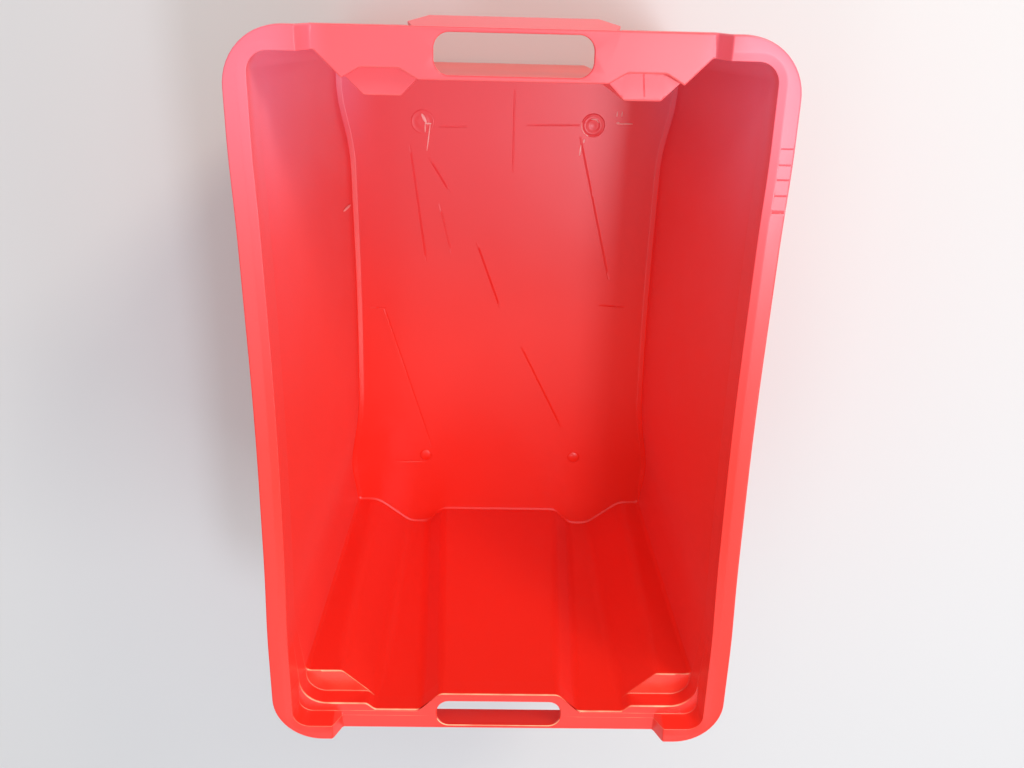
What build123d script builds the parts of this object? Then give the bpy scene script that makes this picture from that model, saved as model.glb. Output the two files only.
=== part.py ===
# A stack-and-nest harvest tub, moulded in one piece in polyethylene and divided here into its regions.
# Millimetres. X is across the tub, Y along it and Z up. The origin is on the ground under the middle of
# the rim. The rear end, at +Y, has the six-sided stacking seats. The front end, at -Y, has the fluted
# wall and the corner shelves. A tub turned end for end stands on the seats and shelves of the one below.

import os
from math import acos, atan2, degrees, hypot, tan

from build123d import *

# Overall sizes
rim_length = 600.0
rim_width = 396.0
height = 340.0
wall = 3.0
waist = 4.0  # how far the long sides are drawn in at mid-length

# Rim
flange_width = 17.0
flange_thickness = 3.0
rim_corner_radius = 42.0
rim_step = 16.0  # how far the end flanges lie below the rest of the rim
raised_corner = 51.0  # from the side of the rim to the top of the ramp down to an end flange
ramp_run = 7.0
skirt_depth = 10.0
skirt_thickness = 2.5
gusset_thickness = 2.5
gusset_depth = 9.0
gusset_pitch = 84.0

# Hand slots and grip flaps
slot_length = 111.0
rear_slot_width = 28.5
front_slot_width = 26.0
slot_corner_radius = 11.0
slot_margin = 3.5  # strip of flange left outside the slot
grip_width = 120.0  # along the lower edge of the flap
grip_ear = 14.0  # how far the flap's ends reach past that edge
grip_depth = 27.0
grip_lean = 6.0  # how far the flap leans out at its lower edge
grip_ear_height = 11.0  # depth below the flange at which the flap is widest
grip_shoulder = 4.0  # how far the flap's ends draw in where they meet the flange

# Stacking seats and shelves
seat_drop = 33.0  # below the raised rim, for seats and shelves alike
seat_setback = 88.0  # from the side of the mouth to the middle of a seat
seat_flat = 27.0  # length of the straight front and back edges of a seat
seat_front = 13.0  # how far a seat stands in from the wall panel
seat_recess = 7.5  # how far a seat is let into the end flange
seat_column_foot = 4.0  # how far the column under a seat stands in at the floor
shelf_depth = 22.0

# Floor
floor_thickness = 3.0
rib_depth = 3.0
rib_thickness = 2.4
foot_width = 6.0
foot_setback = 3.0  # from the outside of the wall to the foot
pip_setback = 96.0  # from the side of the mouth to a gate pip
rear_pip_setback = 108.5  # from the rear edge of the rim
front_pip_setback = 116.5  # from the front edge of the rim
pip_radius = 6.5
pip_height = 1.2
pip_ring_radius = 12.5
pip_ring_height = 0.5
rib_node_setback = 67.0  # from the side of the mouth to the rib crossing at mid-length

# Long walls: the middle panel leans in further than the ends beside it
side_taper = 20.0
side_end_taper = 10.5
side_rear_setback = 86.0  # from the rear edge of the rim to the slope beside the panel
side_rear_run = 51.0
side_front_setback = 108.0  # from the front edge of the rim to the slope beside the panel
side_front_run = 64.0

# Rear wall: a wide panel between two corner pockets
rear_taper = 18.0
rear_panel_inset = 18.5
rear_corner_round = 15.0

# Front wall: a narrow panel, a flute on each side of it, and a square post in each corner
front_inset = 20.5  # from the rim's edge to the bottom of a flute
front_taper = 9.0
flute_depth = 17.5
flute_run = 17.0  # width of the slope between panel and flute
front_panel_top = 106.0
front_panel_foot = 131.0
post_depth = 28.5  # how far a corner post stands in from the flutes
post_width = 39.5  # from the side of the mouth to the post's inner edge
post_slope_top = 30.5  # width of the slope between flute and post
post_slope_foot = 37.0
post_lean = 7.0  # how far the long wall is drawn in at the post
front_corner_round = 24.0

# Rounding of the folds between wall faces
fold_round = 2.0
edge_share = 0.45  # the most of an edge that the rounding at one end may use

half_length = rim_length / 2
half_width = rim_width / 2
mouth_half_width = half_width - flange_width
rear_end = half_length - flange_width
front_end = half_length - front_inset
side_rear_y = half_length - side_rear_setback
side_front_y = side_front_setback - half_length
floor_level = rib_depth + floor_thickness
seat_level = height - seat_drop
low_level = height - rim_step
collar_level = seat_level - wall
grip_top = low_level - flange_thickness
seat_inner = mouth_half_width - seat_setback - seat_flat / 2
seat_outer = seat_inner + seat_flat
post_inner = mouth_half_width - post_width
wall_cut = post_inner - flute_run  # where the end walls meet the corner posts
rim_cut = half_width - raised_corner  # where the end flanges meet the rim's corners
pip_x = mouth_half_width - pip_setback
rear_pip_y = half_length - rear_pip_setback
front_pip_y = front_pip_setback - half_length
reach = half_length + half_width  # longer than any half size, for cutting blocks


def side_points(middle_x, end_x):
    # One long side from rear to front: the middle panel and the slopes to the ends beside it. The waist
    # draws it in along a shallow curve.
    middle_y = (side_rear_y + side_front_y) / 2
    half_run = (side_rear_y - side_front_y) / 2
    stations = [
        (end_x, side_rear_y),
        (middle_x, side_rear_y - side_rear_run),
        (middle_x, middle_y),
        (middle_x, side_front_y + side_front_run),
        (end_x, side_front_y),
    ]
    points = []
    for x, y in stations:
        drawn_in = waist * (1 - ((y - middle_y) / half_run) ** 2)
        points.append(((x - drawn_in, y), 0.0))
    return points


def mirrored(half):
    # A closed outline from its right half, given from the rear to the front.
    left = [((-x, y), radius) for (x, y), radius in reversed(half)]
    return half + left


def floor_outline():
    # The inside of the tub at the floor.
    rear_y = rear_end - rear_taper
    end_x = mouth_half_width - side_end_taper
    middle_x = mouth_half_width - side_taper
    flute_y = front_taper - front_end
    panel = front_panel_foot
    return lower_outline(rear_y, seat_column_foot, end_x, middle_x, flute_y, panel, post_slope_foot)


def under_seat_outline():
    # The inside of the tub just under the seats and shelves.
    side_x = mouth_half_width
    return lower_outline(rear_end, seat_front, side_x, side_x, -front_end, front_panel_top, post_slope_top)


def lower_outline(rear_y, column, end_x, middle_x, flute_y, panel_width, post_slope):
    # Below the seats: columns under the seats at the rear, panel, flutes and posts at the front.
    panel_y = rear_y - rear_panel_inset
    post_y = flute_y + post_depth
    rear = [
        ((seat_inner - column, panel_y), fold_round),
        ((seat_inner, panel_y - column), fold_round),
        ((seat_outer, panel_y - column), fold_round),
        ((seat_outer + column + rear_panel_inset, rear_y), fold_round),
        ((end_x, rear_y), rear_corner_round),
    ]
    front = [
        ((end_x - post_lean, post_y), fold_round),
        ((post_inner, post_y), fold_round),
        ((post_inner - post_slope, flute_y), fold_round),
        ((panel_width / 2 + flute_run, flute_y), fold_round),
        ((panel_width / 2, flute_y + flute_depth), fold_round),
    ]
    return mirrored(rear + side_points(middle_x, end_x) + front)


def mouth_points():
    # The right half of the mouth from the rear, round the seat and the corner pocket, to the front corner.
    panel_y = rear_end - rear_panel_inset
    pocket_x = seat_outer + seat_front
    rear = [
        ((seat_inner - seat_front, panel_y), fold_round),
        ((seat_inner, panel_y + seat_recess), fold_round),
        ((seat_outer, panel_y + seat_recess), fold_round),
        ((pocket_x, panel_y), fold_round),
        ((pocket_x + rear_panel_inset, rear_end), fold_round),
        ((mouth_half_width, rear_end), rear_corner_round),
    ]
    return rear + side_points(mouth_half_width, mouth_half_width)


def collar_outline():
    # The inside of the tub between the seats and the lowered end flanges.
    shelf_rise = post_depth - shelf_depth
    shelf_y = shelf_rise - front_end
    flute_outer = post_inner - post_slope_top
    front = [
        ((mouth_half_width - post_lean / 2, shelf_y), front_corner_round),
        ((flute_outer + post_slope_top * shelf_rise / post_depth, shelf_y), fold_round),
        ((flute_outer, -front_end), fold_round),
        ((front_panel_top / 2 + flute_run, -front_end), fold_round),
        ((front_panel_top / 2, flute_depth - front_end), fold_round),
    ]
    return mirrored(mouth_points() + front)


def lip_outline():
    # The inside of the raised rim: as the collar at the rear, and clear of the corner shelves in front.
    front_corner = ((mouth_half_width, -rear_end), rim_corner_radius - flange_width)
    return mirrored(mouth_points() + [front_corner])


def rim_outline():
    rear_corner = [((half_width, half_length), rim_corner_radius)]
    front_corner = [((half_width, -half_length), rim_corner_radius)]
    return mirrored(rear_corner + side_points(half_width, half_width) + front_corner)


def turns(points):
    # For each point of a closed outline: the angle turned, the shorter edge beside it, and whether the
    # corner points outwards.
    rows = []
    for index, (x, y) in enumerate(points):
        before_x, before_y = points[index - 1]
        after_x, after_y = points[(index + 1) % len(points)]
        in_x, in_y = x - before_x, y - before_y
        out_x, out_y = after_x - x, after_y - y
        in_length, out_length = hypot(in_x, in_y), hypot(out_x, out_y)
        cosine = (in_x * out_x + in_y * out_y) / (in_length * out_length)
        outwards = in_x * out_y - in_y * out_x < 0
        rows.append((acos(max(-1.0, min(1.0, cosine))), min(in_length, out_length), outwards))
    return rows


def grown(outline, amount):
    # The outline moved outwards by an amount, with its corners kept at the same number.
    points = [point for point, _ in outline]
    corners = turns(points)
    moved = []
    for index, ((x, y), radius) in enumerate(outline):
        before_x, before_y = points[index - 1]
        after_x, after_y = points[(index + 1) % len(points)]
        in_length = hypot(x - before_x, y - before_y)
        out_length = hypot(after_x - x, after_y - y)
        in_normal = (-(y - before_y) / in_length, (x - before_x) / in_length)
        out_normal = (-(after_y - y) / out_length, (after_x - x) / out_length)
        spread = 1 + in_normal[0] * out_normal[0] + in_normal[1] * out_normal[1]
        shift_x = amount * (in_normal[0] + out_normal[0]) / spread
        shift_y = amount * (in_normal[1] + out_normal[1]) / spread
        outwards = corners[index][2]
        new_radius = max(0.0, radius + (amount if outwards else -amount)) if radius else 0.0
        moved.append(((x + shift_x, y + shift_y), new_radius))
    return moved


def section(outline, level):
    # A flat face with the outline's corners rounded as far as the edges beside them allow.
    points = [point for point, _ in outline]
    radii = []
    for (_, radius), (angle, shorter, _) in zip(outline, turns(points)):
        radii.append(min(radius, edge_share * shorter / tan(angle / 2)) if radius else 0.0)
    path = FilletPolyline(*points, radius=radii, close=True)
    return Pos(0, 0, level) * make_face(path.edges())


def prism(outline, bottom, top):
    return extrude(section(outline, bottom), top - bottom)


def block(x_range, y_range, z_range):
    size = [high - low for low, high in (x_range, y_range, z_range)]
    middle = [(high + low) / 2 for low, high in (x_range, y_range, z_range)]
    return Pos(*middle) * Box(*size)


def along_tub(profile):
    # A solid with one profile in X and Z all along the tub.
    face = Plane.XZ * make_face(Polyline(*profile, close=True).edges())
    return extrude(face, reach, both=True)


def rim_line(drop):
    # The height of the rim across the tub, lowered by a drop: low in the middle, with a ramp each side.
    low_half = rim_cut - ramp_run
    return [
        (-reach, height - drop),
        (-rim_cut, height - drop),
        (-low_half, low_level - drop),
        (low_half, low_level - drop),
        (rim_cut, height - drop),
        (reach, height - drop),
    ]


def rim_layer(depth):
    return along_tub(rim_line(0) + list(reversed(rim_line(depth))))


def above_rim():
    return along_tub(rim_line(0) + [(reach, height + seat_drop), (-reach, height + seat_drop)])


def inside_space():
    floor_section = section(floor_outline(), floor_level)
    seat_section = section(under_seat_outline(), seat_level)
    lower = loft([floor_section, seat_section], ruled=True)
    collar = prism(collar_outline(), seat_level, low_level)
    lip = prism(lip_outline(), low_level, height + rim_step)
    return lower + collar + lip


def outside_space():
    # The same three stages one wall thickness larger, each with a floor one wall below its own.
    foot_section = section(grown(floor_outline(), wall), rib_depth)
    seat_section = section(grown(under_seat_outline(), wall), seat_level)
    lower = loft([foot_section, seat_section], ruled=True)
    collar = prism(grown(collar_outline(), wall), collar_level, low_level)
    lip = prism(grown(lip_outline(), wall), low_level - wall, height)
    return lower + collar + lip


def hand_slot(end, width):
    # Cut from one flange thickness below the end flange to the top of it.
    bottom = grip_top - flange_thickness
    centre = half_length - slot_margin - width / 2
    slot = extrude(RectangleRounded(slot_length, width, slot_corner_radius), low_level - bottom)
    return Pos(0, end * centre, bottom) * slot


def grip(end):
    # The flap under the outer edge of an end flange, leaning out, with ears and sloping ends.
    inner = half_length - skirt_thickness
    foot = grip_top - grip_depth
    side = [
        (inner, grip_top),
        (half_length, grip_top),
        (half_length + grip_lean, foot),
        (inner + grip_lean, foot),
    ]
    slab = extrude(Plane.YZ * make_face(Polyline(*side, close=True).edges()), reach, both=True)
    low_half = grip_width / 2
    wide_half = low_half + grip_ear
    ear_level = grip_top - grip_ear_height
    front = [
        (wide_half - grip_shoulder, grip_top),
        (wide_half, ear_level),
        (low_half, foot),
        (-low_half, foot),
        (-wide_half, ear_level),
        (-wide_half + grip_shoulder, grip_top),
    ]
    flap = slab & along_tub(front)
    return flap if end > 0 else mirror(flap, about=Plane.XZ)


def grip_bay(end):
    # The stretch of skirt that a grip takes the place of.
    half = grip_width / 2 + grip_ear
    y_range = sorted((end * (half_length - skirt_thickness), end * (half_length + grip_lean)))
    return block((-half, half), y_range, (low_level - skirt_depth, grip_top))


def skirt():
    ring = prism(rim_outline(), low_level - skirt_depth, height)
    ring -= prism(grown(rim_outline(), -skirt_thickness), low_level - skirt_depth, height)
    return ring & rim_layer(skirt_depth)


def gussets(tub_outside):
    # Webs under the flange, from the wall to the skirt, evenly spaced along each long side.
    under = block((-reach, reach), (-reach, reach), (height - gusset_depth, height - flange_thickness))
    ring = prism(grown(rim_outline(), -skirt_thickness), low_level, height) & under
    space = ring - tub_outside
    middle_y = (side_rear_y + side_front_y) / 2
    count = int((side_rear_y - side_front_y) // gusset_pitch)
    half = gusset_thickness / 2
    webs = []
    for index in range(count):
        y = middle_y + (index - (count - 1) / 2) * gusset_pitch
        web = space & block((-reach, reach), (y - half, y + half), (0, height))
        webs += web.solids()
    return Compound(webs)


def floor_rib(start, end):
    run_x, run_y = end[0] - start[0], end[1] - start[1]
    middle = Vector((start[0] + end[0]) / 2, (start[1] + end[1]) / 2, rib_depth / 2)
    bar = Box(hypot(run_x, run_y) + rib_thickness, rib_thickness, rib_depth)
    return Location(middle, (0, 0, degrees(atan2(run_y, run_x)))) * bar


def floor_ribs():
    # A foot all round, and a lattice of ribs between the gate pips, the side crossings and the foot.
    foot = grown(floor_outline(), wall - foot_setback)
    ground = prism(foot, 0, rib_depth)
    lattice = ground - prism(grown(foot, -foot_width), 0, rib_depth)
    node_x = mouth_half_width - rib_node_setback
    node_y = (rear_pip_y + front_pip_y) / 2
    lines = [((0, rear_pip_y), (0, reach))]
    for side in (-1, 1):
        node = (side * node_x, node_y)
        lines.append(((side * pip_x, rear_pip_y), (-side * pip_x, front_pip_y)))
        lines.append((node, (side * reach, node_y)))
        for pip_y in (rear_pip_y, front_pip_y):
            lines.append(((side * pip_x, pip_y), node))
            lines.append(((0, pip_y), (side * reach, pip_y)))
    for start, end in lines:
        lattice += floor_rib(start, end) & ground
    return lattice


def gate_pips():
    standing = (Align.CENTER, Align.CENTER, Align.MIN)
    ring = Cylinder(pip_ring_radius, pip_ring_height, align=standing)
    pip = ring + Cylinder(pip_radius, pip_height, align=standing)
    places = [(x, y) for x in (-pip_x, pip_x) for y in (rear_pip_y, front_pip_y)]
    return Compound([(Pos(x, y, floor_level) * pip).solid() for x, y in places])


def moulding(inside, outside):
    # Walls, floor, rim and skirt as one body, with the hand slots and the places of the grips cut out.
    flange = prism(rim_outline(), low_level - flange_thickness, height) & rim_layer(flange_thickness)
    body = outside + flange + skirt()
    body = body - inside - above_rim()
    for end, slot_width in ((1, rear_slot_width), (-1, front_slot_width)):
        body = body - hand_slot(end, slot_width) - grip_bay(end)
    return body


def regions():
    # The blocks that divide the moulding, each under the name of its node.
    walls = (floor_level, collar_level)
    rims = (collar_level, height + rim_step)
    all_x, all_y = (-reach, reach), (-reach, reach)
    rear, front, centre = (side_rear_y, reach), (-reach, side_front_y), (side_front_y, side_rear_y)
    left, right = (-reach, 0), (0, reach)
    wall_middle, rim_middle = (-wall_cut, wall_cut), (-rim_cut, rim_cut)
    wall_left, wall_right = (-reach, -wall_cut), (wall_cut, reach)
    rim_left, rim_right = (-reach, -rim_cut), (rim_cut, reach)
    return {
        "floor_panel": block(all_x, all_y, (0, floor_level)),
        "left_wall": block(left, centre, walls),
        "right_wall": block(right, centre, walls),
        "rear_wall": block(wall_middle, rear, walls),
        "front_wall": block(wall_middle, front, walls),
        "rear_left_post": block(wall_left, rear, walls),
        "rear_right_post": block(wall_right, rear, walls),
        "front_left_post": block(wall_left, front, walls),
        "front_right_post": block(wall_right, front, walls),
        "left_rim": block(left, centre, rims),
        "right_rim": block(right, centre, rims),
        "rear_left_rim": block(rim_left, rear, rims),
        "rear_right_rim": block(rim_right, rear, rims),
        "front_left_rim": block(rim_left, front, rims),
        "front_right_rim": block(rim_right, front, rims),
        "rear_handle": block(rim_middle, rear, rims),
        "front_handle": block(rim_middle, front, rims),
    }


def main():
    os.makedirs("parts", exist_ok=True)
    inside = inside_space()
    outside = outside_space()
    tub = moulding(inside, outside)
    nodes = {name: tub & region for name, region in regions().items()}
    nodes["rear_grip"] = grip(1)
    nodes["front_grip"] = grip(-1)
    nodes["floor_ribs"] = floor_ribs()
    nodes["gate_pips"] = gate_pips()
    nodes["rim_gussets"] = gussets(outside)
    for name, shape in nodes.items():
        export_step(shape, f"parts/{name}.step")
        print(name, len(shape.solids()), round(shape.volume))


main()
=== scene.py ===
from math import cos, pi, radians, sin, tan

import bmesh
import bpy
from mathutils import Matrix, Vector


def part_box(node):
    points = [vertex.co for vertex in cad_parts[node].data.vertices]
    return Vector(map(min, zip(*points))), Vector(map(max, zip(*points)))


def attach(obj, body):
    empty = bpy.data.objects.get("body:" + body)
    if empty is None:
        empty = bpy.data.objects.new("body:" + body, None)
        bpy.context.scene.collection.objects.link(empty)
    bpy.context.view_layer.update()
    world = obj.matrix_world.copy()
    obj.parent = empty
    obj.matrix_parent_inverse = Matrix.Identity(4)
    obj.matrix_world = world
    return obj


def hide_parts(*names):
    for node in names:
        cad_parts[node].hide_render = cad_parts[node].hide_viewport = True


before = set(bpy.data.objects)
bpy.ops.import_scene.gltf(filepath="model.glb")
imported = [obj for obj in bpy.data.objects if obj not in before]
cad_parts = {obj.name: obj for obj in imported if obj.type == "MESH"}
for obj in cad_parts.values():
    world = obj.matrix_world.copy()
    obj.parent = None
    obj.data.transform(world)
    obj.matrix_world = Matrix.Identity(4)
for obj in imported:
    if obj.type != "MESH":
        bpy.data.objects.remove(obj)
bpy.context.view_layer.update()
mm = 0.001
print("frame loaded:", len(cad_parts), "nodes")


def lowest(node, axis):
    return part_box(node)[0][axis] / mm


def highest(node, axis):
    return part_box(node)[1][axis] / mm


# the moulding, in millimetres; levels and reach come from the frame
wallThickness = 3.0
tub = {
    "halfWidth": highest("rear_right_rim", 0),
    "halfLength": highest("rear_right_rim", 1),
    "rimTop": highest("rear_right_rim", 2),
    "lowTop": highest("rear_grip", 2) + wallThickness,
    "seatTop": highest("rear_wall", 2) + wallThickness,
    "floorTop": highest("floor_panel", 2),
    "floorUnder": lowest("floor_panel", 2),
    "rampTop": highest("rear_handle", 0),
    "sideRear": highest("right_wall", 1),
    "sideFront": lowest("right_wall", 1),
    "wall": wallThickness,
    "flange": 17.0,
    "rampRun": 7.0,
    "rampEase": 0.8,      # half length of the rounding at each end of a ramp
    "rampBow": 0.45,      # share of that rounding's rise in its middle
    "rampLead": 3.0,      # level edge between the last fold and a ramp
    "rimRound": 42.0,
    "waist": 4.0,
    "rearRound": 15.0,
    "seatInner": 79.5,
    "seatOuter": 106.5,
    "seatFront": 13.0,
    "seatRecess": 7.5,
    "columnFoot": 4.0,
    "rearInset": 18.5,
    "rearTaper": 18.0,
    "sideTaper": 20.0,
    "sideEndTaper": 10.5,
    "sideRearRun": 51.0,
    "sideFrontRun": 64.0,
    "frontInset": 20.5,
    "frontTaper": 9.0,
    "fluteDepth": 17.5,
    "fluteRun": 17.0,
    "panelTop": 106.0,
    "panelFoot": 131.0,
    "postDepth": 28.5,
    "postInner": 141.5,
    "postSlopeTop": 30.5,
    "postSlopeFoot": 37.0,
    "postLean": 7.0,
    "postCorner": 0.16,   # the front of a post, in shares of its run: corner, turn and points under the ramp
    "postTurn": (0.46, 0.02),
    "postRamp": (0.5, 0.62),
    "postFlare": (2.8, 3.5),  # how far its corner opens out at the top of the collar
    "shelfDepth": 22.0,
    "shelfFlare": 1.5,    # the same for the corner behind a shelf, which lies a little further back
    "shelfBack": 0.5,
    "lipLean": 4.7,       # how far the front lip leans out between its foot and its top
    "lipInset": 0.35,     # share of that lean inside the end of the mouth
    "lipFootIn": 2.0,     # the corner of its foot lies this far inside that of its top
    "lipStart": 0.04,     # share of the lip's height that its crease takes
    "skirtDepth": 10.0,
    "skirtThickness": 2.5,
    "bayHalf": 74.0,      # half the stretch of skirt that a grip takes the place of
    "bayEase": 0.8,
    "bayShare": 0.4,      # rings there lie only this share as far in from the edge
    "slotLength": 111.0,
    "rearSlotWidth": 28.5,
    "frontSlotWidth": 26.0,
    "slotRound": 11.0,
    "slotMargin": 3.5,
    "footRun": 5.5,       # the sloping strip between floor and walls
    "footRise": 2.6,
    "frontFootShare": 0.4,
    "frontFootFrom": 0.78,  # share of the half length where the strip in front begins
    "heelRound": 3.9,
    "heelSteps": 4,
    "floorBorder": 4.0,
    "shoulderRun": 6.0,   # the rim slopes up this far from the mouth before it is flat
    "shoulderDrop": 0.8,
    "edgeRound": 1.4,
    "creaseRound": 1.0,
    "hemRound": 0.8,
    "hemBow": 0.3,        # how full the hem's rounding is
    "lipRound": 0.5,
}
# how far the roundings in the outlines reach along their edges, in millimetres; the share is the most of an
# edge that the two at its ends may take
cuts = {"side": (16.0, 20.0, 60.0, 24.0, 18.0), "seat": 1.3, "pocket": 0.9, "postFoot": 8.0, "fluteFoot": 6.0,
        "postTop": 2.5, "fluteTop": 4.0, "postCorner": 2.0, "shelfCorner": 19.0, "shelfOpening": 4.0,
        "lipCorner": 13.0, "straight": 0.6, "least": 0.3, "edgeShare": 0.96}
mouth = tub["halfWidth"] - tub["flange"]
rearEnd = tub["halfLength"] - tub["flange"]
frontEnd = tub["halfLength"] - tub["frontInset"]
panelRear = rearEnd - tub["rearInset"]
fluteOuter = tub["postInner"] - tub["postSlopeTop"]
shelfRise = tub["postDepth"] - tub["shelfDepth"]
shelfInner = fluteOuter + tub["postSlopeTop"] * shelfRise / tub["postDepth"]
underLow = tub["lowTop"] - tub["wall"]
sideMiddle = (tub["sideRear"] + tub["sideFront"]) / 2
sideHalf = (tub["sideRear"] - tub["sideFront"]) / 2


roundingSteps = {"fold": 4, "bend": 8, "corner": 14}


# each outline is the right half from the rear middle to the front middle: x, y, how far the rounding of
# that corner reaches along its edges (0 is a plain point) and the steps in the rounding
def fold(x, y, cut):
    return (x, y, cut, roundingSteps["fold"])


def bend(x, y, cut):
    return (x, y, cut, roundingSteps["bend"])


def turnCorner(x, y, cut):
    return (x, y, cut, roundingSteps["corner"])


def plain(x, y):
    return (x, y, 0, 0)


def drawnIn(y):
    # the long sides are waisted between the ends of the side panels
    return tub["waist"] * max(0.0, 1 - ((y - sideMiddle) / sideHalf) ** 2)


def sideStations(middleX, endX):
    rows = [(endX, tub["sideRear"]), (middleX, tub["sideRear"] - tub["sideRearRun"]), (middleX, sideMiddle),
            (middleX, tub["sideFront"] + tub["sideFrontRun"]), (endX, tub["sideFront"])]
    return [bend(x - drawnIn(y), y, cut) for (x, y), cut in zip(rows, cuts["side"])]


def rampXs():
    low, top, ease = tub["rampTop"] - tub["rampRun"], tub["rampTop"], tub["rampEase"]
    return [low - ease, low, low + ease, top - ease, top, top + ease]


def onSlant(inner, outer, share=0.7):
    # a plain point on the slanted face of a front post, from its inner corner towards the flute
    return plain(*Vector(inner).lerp(Vector(outer), share))


def spread(count, start, end):
    return [start + (end - start) * i / (count - 1) for i in range(count)]


def lowerStations(rearY, column, endX, middleX, fluteY, panelWidth, postSlope, postFold, fluteFold):
    panelY = rearY - tub["rearInset"]
    postY = fluteY + tub["postDepth"]
    cornerX = endX - tub["postLean"]
    pocketX = tub["seatOuter"] + column
    run = cornerX - tub["postInner"]
    rows = [fold(tub["seatInner"] - column, panelY, cuts["seat"]),
            fold(tub["seatInner"], panelY - column, cuts["seat"]),
            fold(tub["seatOuter"], panelY - column, cuts["seat"]), fold(pocketX, panelY, cuts["pocket"]),
            fold(pocketX + tub["rearInset"], rearY, cuts["seat"])]
    rows += [plain(x, rearY) for x in rampXs()]
    rows += [turnCorner(endX, rearY, tub["rearRound"])] + sideStations(middleX, endX)
    turnAt, turnCut = tub["postTurn"]
    rows += [fold(cornerX, postY, tub["postCorner"] * run),
             turnCorner(cornerX - turnAt * run, postY, turnCut * run)]
    begin, end = [cornerX - share * run for share in tub["postRamp"]]
    rows += [plain(x, postY) for x in spread(len(rampXs()), begin, end)]
    inner, outer = (tub["postInner"], postY), (tub["postInner"] - postSlope, fluteY)
    rows += [fold(*inner, postFold), onSlant(inner, outer), fold(*outer, postFold),
             fold(panelWidth / 2 + tub["fluteRun"], fluteY, fluteFold),
             fold(panelWidth / 2, fluteY + tub["fluteDepth"], fluteFold)]
    return rows


def floorStations():
    return lowerStations(rearEnd - tub["rearTaper"], tub["columnFoot"], mouth - tub["sideEndTaper"],
                         mouth - tub["sideTaper"], tub["frontTaper"] - frontEnd, tub["panelFoot"],
                         tub["postSlopeFoot"], cuts["postFoot"], cuts["fluteFoot"])


def wallStations(share):
    # the walls part of the way up from the floor, with soft folds
    rows = []
    for (x, y, cut, steps), (seatX, seatY, _, _) in zip(floorStations(), seatStations()):
        rows.append((x + share * (seatX - x), y + share * (seatY - y), cut, steps))
    return rows


def seatStations():
    return lowerStations(rearEnd, tub["seatFront"], mouth, mouth, -frontEnd, tub["panelTop"],
                         tub["postSlopeTop"], cuts["postTop"], cuts["fluteTop"])


def upperStations():
    # the recesses above the seats, the rear corner and the long side, the same all the way up the collar
    pocketX = tub["seatOuter"] + tub["seatFront"]
    recessY = panelRear + tub["seatRecess"]
    rows = [fold(tub["seatInner"] - tub["seatFront"], panelRear, cuts["seat"]),
            fold(tub["seatInner"], recessY, cuts["seat"]), fold(tub["seatOuter"], recessY, cuts["seat"]),
            fold(pocketX, panelRear, cuts["pocket"]), fold(pocketX + tub["rearInset"], rearEnd, cuts["seat"])]
    rows += [plain(x, rearEnd) for x in rampXs()]
    return rows + [turnCorner(mouth, rearEnd, tub["rearRound"])] + sideStations(mouth, mouth)


def postCorner(flare):
    # the corner of a front post, which opens out towards the top of the collar
    outX, outY = tub["postFlare"]
    postX, postY = mouth - tub["postLean"], tub["postDepth"] - frontEnd
    return fold(postX + outX * flare, postY + outY * flare, cuts["postCorner"])


def collarStations(flare):
    # flare 0 is at the seats and shelves, 1 at the top of the collar, where it opens to the lip
    shelfX, shelfY = mouth - tub["postLean"], shelfRise - frontEnd
    rows = upperStations() + [postCorner(flare)]
    rows += [turnCorner(shelfX + tub["shelfFlare"] * flare, shelfY - tub["shelfBack"],
                        cuts["shelfCorner"] + cuts["shelfOpening"] * flare)]
    rows += [plain(x, shelfY) for x in reversed(rampXs())]
    inner, outer = (shelfInner, shelfY), (fluteOuter, -frontEnd)
    rows += [fold(*inner, cuts["postTop"]), onSlant(inner, outer), fold(*outer, cuts["postTop"]),
             fold(tub["panelTop"] / 2 + tub["fluteRun"], -frontEnd, cuts["fluteTop"]),
             fold(tub["panelTop"] / 2, tub["fluteDepth"] - frontEnd, cuts["fluteTop"])]
    return rows


def straightFront(y):
    # the straight front of lip and rim, with points that match the folds of the collar
    bay, ease = tub["bayHalf"], tub["bayEase"]
    rows = [fold(shelfInner, y, cuts["straight"]), onSlant((shelfInner, y), (fluteOuter, y))]
    return rows + [fold(x, y, cuts["straight"]) for x in (fluteOuter, bay + ease, bay - ease)]


def lipStations(flare):
    # flare 0 is the foot of the lip on the low strip, 1 its top edge
    footX, footY, footCut, _ = postCorner(1.0)
    lipY = tub["lipLean"] * (tub["lipInset"] - flare) - rearEnd
    rows = upperStations() + [fold(footX + (mouth - footX) * flare, footY, footCut)]
    rows += [turnCorner(mouth - tub["lipFootIn"] * (1 - flare), lipY, cuts["lipCorner"] + flare)]
    rows += [plain(x, lipY) for x in reversed(rampXs())]
    return rows + straightFront(lipY)


def rimStations():
    half, end = tub["halfWidth"], tub["halfLength"]
    bay, ease, seat = tub["bayHalf"], tub["bayEase"], tub["seatOuter"]
    lowX = tub["rampTop"] - tub["rampRun"] - tub["rampLead"]
    rearXs = (bay - ease, bay + ease, seat, seat + tub["seatFront"], lowX)
    rows = [fold(x, end, cuts["straight"]) for x in rearXs]
    rows += [plain(x, end) for x in rampXs()]
    rows += [turnCorner(half, end, tub["rimRound"])] + sideStations(half, half)
    rows += [fold(half, tub["rimRound"] - (end + rearEnd) / 2, cuts["postCorner"])]
    rows += [turnCorner(half, -end, tub["rimRound"])]
    rows += [plain(x, -end) for x in reversed(rampXs())]
    return rows + straightFront(-end)


def whole(stations):
    return stations + [(-x, y, cut, steps) for x, y, cut, steps in reversed(stations)]


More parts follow.
